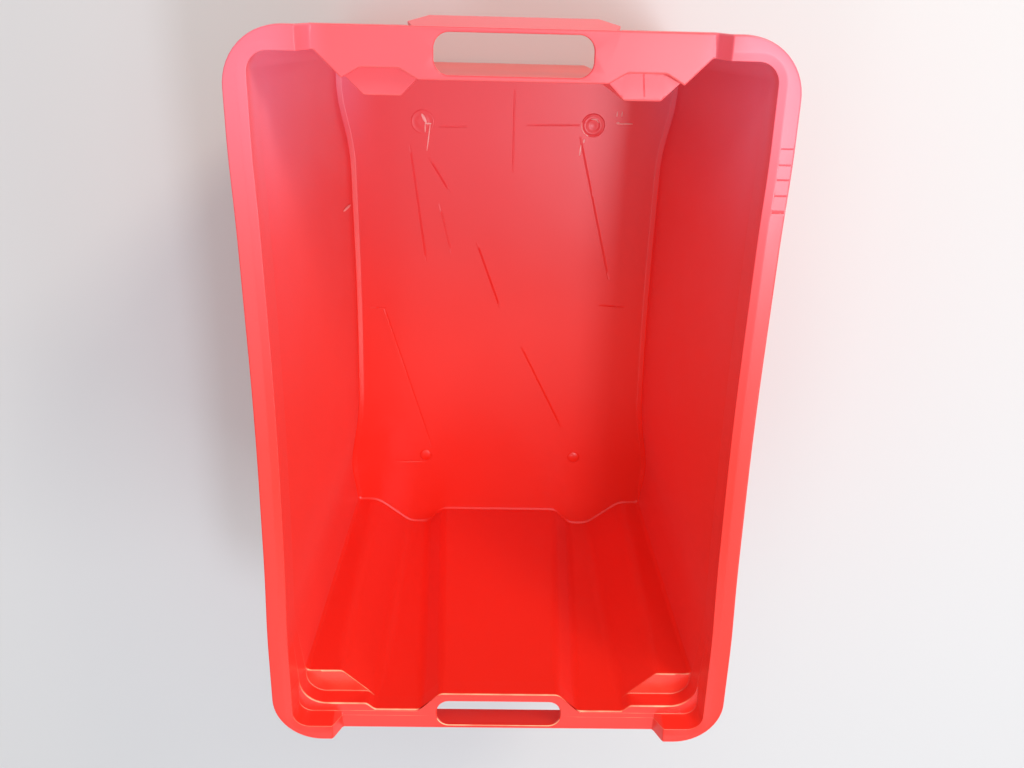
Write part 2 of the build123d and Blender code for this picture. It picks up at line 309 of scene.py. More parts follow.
def grown(stations, amount):
    # moves a closed outline outwards, mitred, and widens or tightens its roundings to suit
    moved = []
    for i, (x, y, cut, steps) in enumerate(stations):
        here = Vector((x, y))
        arrive = (here - Vector(stations[i - 1][:2])).normalized()
        leave = (Vector(stations[(i + 1) % len(stations)][:2]) - here).normalized()
        normal = Vector((-arrive.y - leave.y, arrive.x + leave.x))
        spot = here + normal * (amount / (1 + arrive.dot(leave)))
        turn = arrive.angle_signed(leave, 0.0)
        moved.append((spot.x, spot.y, max(cuts["least"], cut + amount * tan(turn / 2)) if cut else 0, steps))
    return moved


def rounded(stations):
    points = []
    for i, (x, y, cut, steps) in enumerate(stations):
        here = Vector((x, y))
        if not cut:
            points.append(here)
            continue
        before, after = stations[i - 1], stations[(i + 1) % len(stations)]
        back, ahead = Vector(before[:2]) - here, Vector(after[:2]) - here
        limits = [cuts["edgeShare"] * side.length / (cut + other[2])
                  for side, other in ((back, before), (ahead, after))]
        reach = cut * min(1.0, *limits)
        start, end = here + back.normalized() * reach, here + ahead.normalized() * reach
        weight = cos((pi - back.angle(ahead)) / 2)
        for step in range(steps + 1):
            t = step / steps
            a, b, c = (1 - t) ** 2, 2 * weight * t * (1 - t), t * t
            points.append((a * start + b * here + c * end) / (a + b + c))
    return points


def outline(stations, amount=0.0):
    full = whole(stations)
    return rounded(grown(full, amount) if amount else full)


def between(first, second, share):
    # share may be one number or one per point
    shares = share if isinstance(share, list) else [share] * len(first)
    return [a.lerp(b, s) for a, b, s in zip(first, second, shares)]


def perPoint(stations, values):
    # one value per station, repeated over the points of its rounding, on both halves
    rows = []
    for (_, _, cut, steps), value in zip(whole(stations), values + values[::-1]):
        rows += [value] * (steps + 1 if cut else 1)
    return rows


def rimLevels():
    low, top = tub["lowTop"], tub["rimTop"]
    rise = (top - low) / tub["rampRun"] * tub["rampEase"]
    bow = tub["rampBow"] * rise
    ramp = dict(zip(rampXs(), (low, low + bow, low + rise, top - rise, top - bow, top)))
    return [ramp.get(x, low if x < tub["rampTop"] else top) for x, _, _, _ in rimStations()]


# how far the edges that run across the tub are painted cream, as rubbed wear together with a painted
# highlight:
# at the front end, which is the one set down, and elsewhere; the front shelves take a little all over, and
# their back creases more; the cream runs a little aslant, by the lean in degrees, and an edge's way is taken
# over a span of points
edgeWearAndHighlight = {"front": 1.0, "elsewhere": 0.08, "frontEnd": -215.0, "shelf": 0.06, "crease": 0.5, "lip": 0.35,
            "fullGap": 4.0, "lean": 20.0, "span": 3}


def wearAndHighlightAt(y):
    return edgeWearAndHighlight["front"] if y < edgeWearAndHighlight["frontEnd"] else edgeWearAndHighlight["elsewhere"]


class Skin:
    # a skin grown ring by ring: each new ring is an extrusion of the one before; the edge value is 1 on an
    # edge painted cream as rubbed wear with a painted highlight, and the haze value is 1 where the painted
    # haze is full
    def __init__(self):
        self.bm = bmesh.new()
        self.bm.verts.layers.float.new("wearAndHighlight")
        self.bm.verts.layers.float.new("hazeWeight")
        self.hazeShare = 1.0
        self.verts = []
        self.first = []
        self.last = []

    def ring(self, spots, levels, wearAndHighlight=0.0):
        heights = levels if isinstance(levels, list) else [levels] * len(spots)
        wornAndHighlit = wearAndHighlight if isinstance(wearAndHighlight, list) else [wearAndHighlight] * len(spots)
        if self.verts:
            made = bmesh.ops.extrude_edge_only(self.bm, edges=self.last)["geom"]
            fresh = {v for v in made if isinstance(v, bmesh.types.BMVert)}
            edges = [e for e in made if isinstance(e, bmesh.types.BMEdge)]
            self.last = [e for e in edges if fresh.issuperset(e.verts)]
            self.verts = [next(e.other_vert(v) for e in v.link_edges if e.other_vert(v) in fresh)
                          for v in self.verts]
        else:
            self.verts = [self.bm.verts.new() for _ in spots]
            pairs = zip(self.verts, self.verts[1:] + self.verts[:1])
            self.first = [self.bm.edges.new(pair) for pair in pairs]
            self.last = self.first
        layers = self.bm.verts.layers.float
        # edges that run across the tub, a little aslant, take the cream of wear and painted highlight
        lean = radians(edgeWearAndHighlight["lean"])
        creamWay = Vector((cos(lean), -sin(lean)))
        span = edgeWearAndHighlight["span"]
        ahead, behind = spots[span:] + spots[:span], spots[-span:] + spots[:-span]
        for i, vert in enumerate(self.verts):
            vert.co = (spots[i].x * mm, spots[i].y * mm, heights[i] * mm)
            crosswise = (ahead[i] - behind[i]).normalized().dot(creamWay) ** 2
            vert[layers["wearAndHighlight"]] = wornAndHighlit[i] * wearAndHighlightAt(spots[i].y) * crosswise
            vert[layers["hazeWeight"]] = self.hazeShare


# how much painted haze the walls take at their foot and at their top; everything else inside counts 1
wallHaze = {"foot": 0.5, "top": 1.25}
# a quarter round in four rings: share of the radius along, share of it down, and cream edge as wear with a
# painted highlight
quarterRound = ((0.0, 1.0, 0.0), (0.12, 0.5, 1.0), (0.5, 0.12, 1.0), (1.0, 0.0, 0.0))
# the crease behind seats and shelves: share of its radius along, share of it up, and cream edge as wear with
# a painted highlight
backCrease = ((1.0, 0.0, edgeWearAndHighlight["shelf"]), (0.3, 0.3, edgeWearAndHighlight["crease"]), (0.0, 1.0, 0.0))
# the strip at the foot of the walls: share of its run in from the wall, share of its rise
footStrip = ((1.0, 0.0), (0.93, 0.02), (0.85, 0.08), (0.15, 0.82), (0.06, 0.96), (0.02, 1.12), (0.0, 1.35))
# the shoulder of the rim: share of its run, share of its rise
shoulder = ((0.85, 0.8), (1.0, 0.95), (1.15, 1.0))
wallShares = (0.2, 0.45, 0.7, 0.92)  # where the walls have rings, from the floor to the seats
gapShare = 0.45  # the most of a narrow seat that one rounding may take
leastGap = 1e-4  # a gap under this counts as none, in millimetres


def insideRings(skin):
    floor = floorStations()
    seatLine, collarLine = outline(seatStations()), outline(collarStations(0.0))
    floorTop, seatTop = tub["floorTop"], tub["seatTop"]
    edge, crease = tub["edgeRound"], tub["creaseRound"]

    # floor, the sloping strip round it, narrower in front, and the walls up to the seats
    floorLine = outline(floor)
    frontY = -tub["frontFootFrom"] * tub["halfLength"]
    foot = [tub["frontFootShare"] if p.y < frontY else 1.0 for p in floorLine]
    footLine = outline(floor, -tub["footRun"])
    skin.ring(outline(floor, -tub["footRun"] - tub["floorBorder"]), floorTop)
    # the floor and the strip take full painted haze, the walls less at their foot
    for along, rise in footStrip:
        skin.hazeShare = 1.0 if rise < 1 else wallHaze["foot"]
        skin.ring(between(floorLine, footLine, [along * share for share in foot]),
                  [floorTop + rise * tub["footRise"] * share for share in foot])
    for share in wallShares:
        skin.hazeShare = wallHaze["foot"] + share * (wallHaze["top"] - wallHaze["foot"])
        skin.ring(outline(wallStations(share)), floorTop + share * (seatTop - floorTop))
    skin.hazeShare = 1.0

    # seats and shelves: a rounded brow, the flat, and a small crease at the back
    gap = [(b - a).length for a, b in zip(seatLine, collarLine)]
    broad = [min(1.0, g / edgeWearAndHighlight["fullGap"]) for g in gap]
    for along, drop, wearAndHighlight in quarterRound:
        share = [min(along * edge, gapShare * g) / g if g > leastGap else 0.0 for g in gap]
        wornAndHighlit = [b * (wearAndHighlight or along * edgeWearAndHighlight["shelf"]) for b in broad]
        skin.ring(between(seatLine, collarLine, share), seatTop - drop * edge, wornAndHighlit)
    for along, rise, wearAndHighlight in backCrease:
        share = [1 - min(along * crease, gapShare * g) / g if g > leastGap else 1.0 for g in gap]
        skin.ring(between(seatLine, collarLine, share), seatTop + rise * crease, [b * wearAndHighlight for b in broad])


def rimRings(skin):
    lowTop, edge, crease, wall = tub["lowTop"], tub["edgeRound"], tub["creaseRound"], tub["wall"]
    collarLine, rim = outline(collarStations(1.0)), rimStations()
    lipFoot, lipTop = lipStations(0.0), lipStations(1.0)
    levels = perPoint(rim, rimLevels())

    # collar, the strip at its top in front, and the raised lip; at the rear the low flange has no lip
    lowRear = [1.0 if z < lowTop + flatWithin and p.y > 0 else 0.0 for z, p in zip(levels, outline(rim))]
    footLine = between(outline(lipFoot), outline(lipFoot, edge), lowRear)
    topLine = between(outline(lipTop), outline(lipTop, edge), lowRear)
    strip = [(b - a).length for a, b in zip(collarLine, footLine)]
    for along, drop, wearAndHighlight in quarterRound:
        share = [min(along * edge / g, 1.0) if g > leastGap else 0.0 for g in strip]
        skin.ring(between(collarLine, footLine, share), lowTop - drop * edge, wearAndHighlight)
    short = [max(min(edge / g, 1.0), 1 - crease / 2 / g) if g > leastGap else 1.0 for g in strip]
    skin.ring(between(collarLine, footLine, short), lowTop)
    skin.ring(footLine, lowTop, edgeWearAndHighlight["crease"])
    start = tub["lipStart"]
    skin.ring(between(footLine, topLine, start), [lowTop + start * (z - lowTop) for z in levels])
    reach = 2 * edge
    lipGrown = outline(lipTop, reach)
    rise = tub["rimTop"] - lowTop
    brow = [z - tub["shoulderDrop"] * (z - lowTop) / rise for z in levels]
    for along, drop, wearAndHighlight in quarterRound:
        heights = [max(lowTop, z - drop * tub["lipRound"]) for z in brow]
        line = between(topLine, lipGrown, along * tub["lipRound"] / reach)
        skin.ring(line, heights, edgeWearAndHighlight["lip"] * wearAndHighlight)
    for share, lift in shoulder:
        heights = [b + (z - b) * lift for b, z in zip(brow, levels)]
        skin.ring(outline(lipTop, share * tub["shoulderRun"]), heights)

    # flange, rounded outer edge and skirt; no skirt where a grip hangs
    thin, hem = tub["skirtThickness"], tub["hemRound"]
    inBay = [1.0 if abs(p.x) < tub["bayHalf"] and abs(p.y) > rearEnd else 0.0 for p in outline(rim)]
    for along, drop, _ in reversed(quarterRound):
        skin.ring(outline(rim, -along * edge), [z - drop * edge for z in levels])
    # no painted haze on the outside
    skin.hazeShare = 0.0
    under = [z - wall for z in levels]
    foot = [u if bay else z - tub["skirtDepth"] for z, u, bay in zip(levels, under, inBay)]
    bow, closer = tub["hemBow"] * hem, tub["bayShare"]
    for inset, rise in ((0.0, hem), (bow, bow), (hem, 0.0), (thin - hem, 0.0), (thin, hem)):
        line = between(outline(rim, -inset), outline(rim, -closer * inset), inBay)
        inner = inset > thin / 2
        skin.ring(line, [min(f + rise, u) if inner else f + rise for f, u in zip(foot, under)])
    for inset, drop in ((thin, 1.0), (thin + crease, 0.0)):
        line = between(outline(rim, -inset), outline(rim, -closer * inset), inBay)
        skin.ring(line, [u if bay else u - drop * crease for u, bay in zip(under, inBay)])
    skin.ring(outline(lipTop, wall + crease), under)
    skin.ring(outline(lipTop, wall), [max(underLow, u - crease) for u in under])


def outsideRings(skin):
    # outside of lip, collar and walls, down to the underside of the floor
    wall, seatUnder, floorUnder = tub["wall"], tub["seatTop"] - tub["wall"], tub["floorUnder"]
    skin.ring(outline(lipStations(0.0), wall), underLow)
    skin.ring(outline(collarStations(1.0), wall), underLow)
    skin.ring(outline(collarStations(0.0), wall), seatUnder)
    skin.ring(outline(seatStations(), wall), seatUnder)
    for share in reversed(wallShares):
        skin.ring(outline(wallStations(share), wall), floorUnder + share * (seatUnder - floorUnder))
    heel, steps = tub["heelRound"], tub["heelSteps"]
    for step in range(steps + 1):
        angle = pi / 2 * (1 - step / steps)
        line = outline(floorStations(), wall - heel * (1 - sin(angle)))
        skin.ring(line, floorUnder + heel * (1 - cos(angle)))


def slotLoop(bm, end, extra, level, wearAndHighlight):
    # a rounded slot outline, grown by extra
    width = tub["rearSlotWidth"] if end > 0 else tub["frontSlotWidth"]
    halfX, halfY = tub["slotLength"] / 2 + extra, width / 2 + extra
    centreY = tub["halfLength"] - tub["slotMargin"] - width / 2
    cut = tub["slotRound"] + extra
    corners = [(halfX, halfY), (halfX, -halfY), (-halfX, -halfY), (-halfX, halfY)]
    loop = rounded([turnCorner(x, centreY + y, cut) for x, y in corners])
    verts = [bm.verts.new((p.x * mm, end * p.y * mm, level * mm)) for p in loop]
    layers = bm.verts.layers.float
    # the outer edge of a slot is painted cream as rubbed wear with a painted highlight; the slot takes full
    # painted haze
    for vert, spot in zip(verts, loop):
        outer = 1.0 if spot.y > centreY + halfY / 2 else 0.0
        vert[layers["wearAndHighlight"]] = wearAndHighlight * outer * wearAndHighlightAt(end * spot.y)
        vert[layers["hazeWeight"]] = 1.0
    return [bm.edges.new((a, b)) for a, b in zip(verts, verts[1:] + verts[:1])]


# a face is level within this, in millimetres; those that a slot opens lie within these shares of the slot's
# length and of the way to the end
flatWithin = 0.02
slotCore = 0.25
endFrom = 0.8


def isFlat(item, level):
    return all(abs(v.co.z / mm - level) < flatWithin for v in item.verts)


def cutSlot(bm, end):
    # opens the middle of a lowered flange, above and below, and lines the hole with a rounded edge
    hem = tub["hemRound"]
    loops = [slotLoop(bm, end, (1 - along) * hem, tub["lowTop"] - (1 - drop) * hem, wearAndHighlight)
             for along, drop, wearAndHighlight in quarterRound]
    loops += [slotLoop(bm, end, (1 - along) * hem, underLow + (1 - drop) * hem, 0.0)
              for along, drop, _ in reversed(quarterRound)]
    for level, loop in ((tub["lowTop"], loops[0]), (underLow, loops[-1])):
        middle = []
        for face in bm.faces:
            centre = face.calc_center_median() / mm
            central = abs(centre.x) < slotCore * tub["slotLength"]
            if central and centre.y * end > endFrom * rearEnd and isFlat(face, level):
                middle.append(face)
        bmesh.ops.delete(bm, geom=middle, context="FACES")
        hole = [e for e in bm.edges if e.is_boundary and isFlat(e, level)]
        bmesh.ops.triangle_fill(bm, edges=hole + loop, use_beauty=True)
    for upper, lower in zip(loops, loops[1:]):
        bmesh.ops.bridge_loops(bm, edges=upper + lower)


ruleMargins = (5.0, 0.6)  # bare rim at the mouth's end of a rule and at its outer end, in millimetres


def rimRule(y, share):
    # a rule right across the flat of the rim
    inner, outer = ruleMargins
    return ((mouth + inner - drawnIn(y), y), (tub["halfWidth"] - outer - drawnIn(y), y), share)


# fine grooves in flat faces, in millimetres: sink lines above the floor ribs, rules on the right of the rim,
# and a knock on one seat; each line is its start, its end and its share of the depth
grooves = {
    "floorSinks": {"level": tub["floorTop"], "halfWidth": 1.1, "depth": 0.65, "fade": 8.0, "lines": [
        ((-69.0, 187.2), (-40.0, 187.8), 0.9), ((20.5, 190.5), (74.0, 191.5), 0.55),
        ((7.5, 224.0), (7.5, 142.0), 0.5), ((-79.0, 156.0), (-57.0, 120.0), 0.8),
        ((-29.0, 68.0), (-3.0, -4.4), 1.0), ((21.0, -48.0), (69.0, -145.0), 0.8),
        ((75.0, 180.0), (113.0, 30.0), 1.2), ((104.0, 1.0), (132.0, -0.7), 1.2),
        ((-145.0, -6.0), (-126.0, -6.8), 0.8), ((-128.0, -6.8), (-78.0, -172.0), 0.4),
        ((-98.0, 168.0), (-82.0, 44.0), 0.5), ((-68.0, 108.0), (-55.0, 54.0), 0.4),
        ((-121.0, -191.8), (-84.0, -191.2), 0.6)]},
    "rimRules": {"level": tub["rimTop"], "halfWidth": 0.7, "depth": 0.5, "fade": 0.4, "lines": [
        rimRule(225.5, 1.0), rimRule(214.2, 1.0), rimRule(203.7, 1.0), rimRule(192.4, 1.0),
        rimRule(128.5, 0.5)]},
    "lastRule": {"level": tub["rimTop"], "halfWidth": 1.3, "depth": 0.7, "fade": 0.4, "lines": [
        rimRule(180.8, 1.0)]},
    "seatKnock": {"level": tub["seatTop"], "halfWidth": 0.6, "depth": 0.3, "fade": 3.0, "lines": [
        ((92.6, 270.5), (94.3, 254.5), 1.0)]},
}
grooveLean = 0.5   # the bottom of a groove lies this share of its half width off the middle
grooveGrid = 30.0  # the floor is first cut in squares of this size
gridSteps = 10     # this many of them either way from the middle
grooveNear = 22.5  # faces whose middle is nearer to a groove than this are cut for it
cutWithin = 0.01   # a point this near to a cut lies on it
lineWithin = 0.1   # and one this near to the bottom of a groove is lowered


def flatFaces(bm, level):
    return [f for f in bm.faces if isFlat(f, level)]


def facesAlong(faces, start, end):
    # the faces whose middle lies near the line
    near = []
    run = end - start
    for face in faces:
        spot = face.calc_center_median().xy / mm - start
        share = max(0.0, min(1.0, spot.dot(run) / run.length_squared))
        if (spot - share * run).length < grooveNear:
            near.append(face)
    return near


def cutPlane(bm, faces, place, normal):
    geom = faces + list({e for f in faces for e in f.edges}) + list({v for f in faces for v in f.verts})
    bmesh.ops.bisect_plane(bm, geom=geom, plane_co=(place.x * mm, place.y * mm, 0),
                           plane_no=(normal.x, normal.y, 0), dist=cutWithin * mm)


def pressGroove(bm, group, start, end, share):
    # cuts a line, its two margins and its ends, lowers the line, and keeps its edges crisp
    start, end = Vector(start), Vector(end)
    run, width = (end - start).normalized(), group["halfWidth"]
    across = run.orthogonal()
    if across.x + across.y > 0:
        across.negate()
    bottom, fade = grooveLean * width, run * group["fade"]
    planes = [(start + across * offset, across) for offset in (-width, bottom, width)]
    planes += [(place, run) for place in (start, start + fade, end - fade, end)]
    for place, normal in planes:
        cutPlane(bm, facesAlong(flatFaces(bm, group["level"]), start, end), place, normal)
    near = facesAlong(flatFaces(bm, group["level"]), start, end)
    for vert in {v for f in near for v in f.verts}:
        spot = vert.co.xy / mm - start
        inside = min(spot.dot(run), (end - start).length - spot.dot(run))
        if inside > 0 and abs(spot.dot(across) - bottom) < lineWithin:
            vert.co.z -= share * group["depth"] * min(1.0, inside / group["fade"]) * mm
            for edge in {e for f in vert.link_faces for e in f.edges}:
                edge.smooth = False


def pressGrooves(bm):
    for step in range(-gridSteps, gridSteps + 1):
        place = Vector((1, 1)) * step * grooveGrid
        for normal in (Vector((1, 0)), Vector((0, 1))):
            cutPlane(bm, flatFaces(bm, tub["floorTop"]), place, normal)
    for group in grooves.values():
        for start, end, share in group["lines"]:
            pressGroove(bm, group, start, end, share)


def finishMesh(bm, name, material):
    bmesh.ops.recalc_face_normals(bm, faces=bm.faces)
    mesh = bpy.data.meshes.new(name)
    bm.to_mesh(mesh)
    bm.free()
    mesh.materials.append(material)
    mesh.polygons.foreach_set("use_smooth", [True] * len(mesh.polygons))
    piece = bpy.data.objects.new(name, mesh)
    bpy.context.scene.collection.objects.link(piece)
    return piece


def coverWithHaze(piece):
    # the whole piece takes full painted haze
    hazeWeight = piece.data.attributes.new("hazeWeight", "FLOAT", "POINT")
    hazeWeight.data.foreach_set("value", [1.0] * len(piece.data.vertices))


def weightNormals(piece):
    modifier = piece.modifiers.new("flatShading", "WEIGHTED_NORMAL")
    modifier.weight = 100  # the largest faces alone give the shading
    modifier.keep_sharp = True


mergeWithin = 0.004   # points this close become one, in millimetres
shortestEdge = 0.002  # edges under this are taken out


def makeTubShell(material):
    skin = Skin()
    insideRings(skin)
    rimRings(skin)
    outsideRings(skin)
    bm = skin.bm
    for rim in (skin.first, skin.last):
        bmesh.ops.triangle_fill(bm, edges=rim, use_beauty=True)
    bmesh.ops.remove_doubles(bm, verts=bm.verts, dist=mergeWithin * mm)
    bmesh.ops.dissolve_degenerate(bm, edges=bm.edges, dist=shortestEdge * mm)
    pressGrooves(bm)
    for end in (1, -1):
        cutSlot(bm, end)
    print("tub shell:", len(bm.faces), "faces,", sum(not e.is_manifold for e in bm.edges), "open edges")
    piece = finishMesh(bm, "tubShell", material)
    weightNormals(piece)
    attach(piece, "root")
    kept = ("floor_ribs", "gate_pips", "rim_gussets", "rear_grip", "front_grip")
    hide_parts(*[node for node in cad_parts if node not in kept])


# grip flaps, in millimetres
grip = {"width": 120.0, "ear": 14.0, "shoulder": 4.0, "earDrop": 11.0, "lean": 6.0, "thickness": 2.4,
        "sink": 1.0, "edgeRound": 0.8}


def makeGrip(name, node, end, material):
    top, foot = highest(node, 2), lowest(node, 2)
    low, wide = grip["width"] / 2, grip["width"] / 2 + grip["ear"]
    neck = wide - grip["shoulder"]
    profile = [(neck, top + grip["sink"]), (neck, top), (wide, top - grip["earDrop"]), (low, foot)]
    profile += [(-x, z) for x, z in reversed(profile)]
    bm = bmesh.new()
    inner = tub["halfLength"] - tub["skirtThickness"]
    verts = []
    for x, z in profile:
        y = inner + grip["lean"] * max(0.0, top - z) / (top - foot)
        verts.append(bm.verts.new((x * mm, end * y * mm, z * mm)))
    face = bm.faces.new(verts)
    grownFace = bmesh.ops.extrude_face_region(bm, geom=[face])["geom"]
    moved = [v for v in grownFace if isinstance(v, bmesh.types.BMVert)]
    bmesh.ops.translate(bm, verts=moved, vec=(0, end * grip["thickness"] * mm, 0))
    bmesh.ops.recalc_face_normals(bm, faces=bm.faces)
    bmesh.ops.bevel(bm, geom=bm.edges[:], offset=grip["edgeRound"] * mm, segments=3, profile=0.5,
                    affect="EDGES", material=-1, clamp_overlap=True)
    piece = finishMesh(bm, name, material)
    coverWithHaze(piece)
    weightNormals(piece)
    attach(piece, "root")
    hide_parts(node)


# moulding-gate pips on the floor: radius and height of each turn of the profiles, in millimetres; of the two
# at the rear, the left one is cut nearly flush and the right one stands a little off
gatePip = {"rear": [(0.0, 0.5), (3.0, 0.55), (4.4, 0.9), (5.2, 0.9), (6.6, 0.05), (9.4, 0.03), (10.6, 0.8),
                    (11.0, 0.8), (11.9, 0.02), (12.0, -0.3), (0.0, -0.3)],
           "front": [(0.0, 0.7), (5.2, 0.75), (6.8, 0.02), (6.9, -0.3), (0.0, -0.3)],
           "flushShare": 0.3, "off": 2.6, "turns": 48, "cadRadius": 12.5, "mergeWithin": 0.01}


def pipCentres():
    low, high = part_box("gate_pips")
    reach = gatePip["cadRadius"]
    return high.x / mm - reach, high.y / mm - reach, low.y / mm + reach


def makeGatePips(material):
    bm = bmesh.new()
    pipX, rearY, frontY = pipCentres()
    spots = [(pipX + gatePip["off"], rearY, "rear", 1.0), (-pipX, rearY, "rear", gatePip["flushShare"]),
             (pipX, frontY, "front", 1.0), (-pipX, frontY, "front", 1.0)]
    for x, y, kind, share in spots:
        profile = [(r, tub["floorTop"] + z * share) for r, z in gatePip[kind]]
        verts = [bm.verts.new(((x + r) * mm, y * mm, z * mm)) for r, z in profile]
        edges = [bm.edges.new(pair) for pair in zip(verts, verts[1:])]
        bmesh.ops.spin(bm, geom=verts + edges, cent=(x * mm, y * mm, 0), axis=(0, 0, 1), angle=2 * pi,
                       steps=gatePip["turns"], use_merge=True)
    bmesh.ops.remove_doubles(bm, verts=bm.verts, dist=gatePip["mergeWithin"] * mm)
    piece = finishMesh(bm, "gatePips", material)
    coverWithHaze(piece)
    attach(piece, "root")
    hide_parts("gate_pips")


# whitened burrs where the plastic is chafed, and painted highlights on the edges of the right rear gate pip,
# in
# millimetres: the ends and width of each, and for those on the left wall the way that the wall faces
burrsAndHighlights = {"thickness": 1.4, "wallFace": (1.0, 0.0, -0.07),
         "onWall": [((-161.2, 109.4, 54.0), (-158.7, 108.1, 18.5), 3.4)],
         "onFloor": [((-86.0, 199.5), (-81.0, 190.0), 3.4), ((-83.0, 189.7), (-76.0, 189.8), 1.7),
                     ((-82.4, 190.0), (-82.4, 180.5), 1.4), ((-77.2, 190.0), (-80.9, 162.0), 1.4),
                     ((110.5, 193.8), (128.0, 193.8), 1.7), ((111.0, 194.2), (114.5, 194.6), 2.6),
                     ((111.5, 206.0), (111.0, 200.5), 1.2), ((116.4, 206.0), (115.9, 200.5), 1.2),
                     ((79.5, 178.0), (78.5, 173.5), 2.0), ((76.2, 172.0), (75.2, 160.5), 1.8),
                     # the last six are painted highlights on the boss and the ring of the right rear pip
                     ((82.8, 193.5), (86.4, 197.4), 2.0), ((84.6, 196.6), (91.8, 196.8), 3.4),
                     ((90.4, 197.2), (93.2, 192.6), 2.2), ((76.3, 194.5), (76.9, 186.0), 1.8),
                     ((76.7, 187.6), (80.6, 182.4), 2.4), ((79.6, 183.4), (83.6, 180.8), 2.0)]}


def addSpindle(bm, start, end, width, face):
    # a flat spindle, half sunk in the face that it lies on
    along = (end - start).normalized()
    across = face.cross(along).normalized()
    turn = Matrix((along, across, along.cross(across))).transposed().to_4x4()
    sizes = ((end - start).length / 2, width / 2, burrsAndHighlights["thickness"] / 2)
    stretch = Matrix.Diagonal([size * mm for size in sizes] + [1.0])
    place = Matrix.Translation((start + end) / 2 * mm)
    bmesh.ops.create_icosphere(bm, subdivisions=3, radius=1.0, matrix=place @ turn @ stretch)


def makeBurrsAndHighlights(material):
    bm = bmesh.new()
    for start, end, width in burrsAndHighlights["onWall"]:
        addSpindle(bm, Vector(start), Vector(end), width, Vector(burrsAndHighlights["wallFace"]))
    for start, end, width in burrsAndHighlights["onFloor"]:
        ends = [Vector((x, y, tub["floorTop"])) for x, y in (start, end)]
        addSpindle(bm, *ends, width, Vector((0, 0, 1)))
    piece = finishMesh(bm, "burrsAndPipHighlights", material)
    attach(piece, "root")


def linear(hexText):
    parts = [int(hexText[i:i + 2], 16) / 255 for i in (1, 3, 5)]
    return [c / 12.92 if c <= 0.04045 else ((c + 0.055) / 1.055) ** 2.4 for c in parts] + [1.0]


def addNode(tree, kind, settings=None, inputs=None, links=None):
    node = tree.nodes.new(kind)
    for key, value in (settings or {}).items():
        setattr(node, key, value)
    for key, value in (inputs or {}).items():
        node.inputs[key].default_value = value
    for key, (source, output) in (links or {}).items():
        tree.links.new(source.outputs[output], node.inputs[key])
    return node


colourA, colourB, mixedColour = 6, 7, 2  # sockets of a mix node that mixes colours


def perMetre(sizeMm):
    return 1 / (sizeMm * mm)


def newMaterial(name):
    material = bpy.data.materials.new(name)
    material.use_nodes = True
    tree = material.node_tree
    tree.nodes.clear()
    return material, tree


# injection-moulded high-density polyethylene: deep even red, waxy half gloss, fine orange peel, a thin film
# of dust, cream edges that are rubbed wear with a painted highlight, and inside a painted pinkish haze of
# glare that grows towards the rear end and is pinkest in its two corners; each haze ramp runs from where it
# begins to where it is full, in millimetres
polyethylene = {"red": "#f32b19", "deepRed": "#ee2715", "paintedHaze": "#f2545c", "paintedCornerHaze": "#f18aa6",
                "hazeRamps": {"rearHaze": ("Y", -60, 290), "rearward": ("Y", 115, 300), "below": ("Z", 338, 318)},
                "aside": (125, 172), "rimShare": 0.35, "dust": 0.09, "dustTint": "#ffd8da",
                "wornAndHighlit": "#ffc898", "edgeNoiseMm": 22, "edgeNoiseRange": (0.35, 0.6), "edgeNoiseLeast": 0.45,
                "roughness": (0.38, 0.25), "ior": 1.54, "patchMm": 120,
                "peelMm": 2.2, "peelDepthMm": 0.2, "peelStrength": 0.12,
                "swellMm": 90, "swellDepthMm": 2.0, "swellStrength": 0.25}


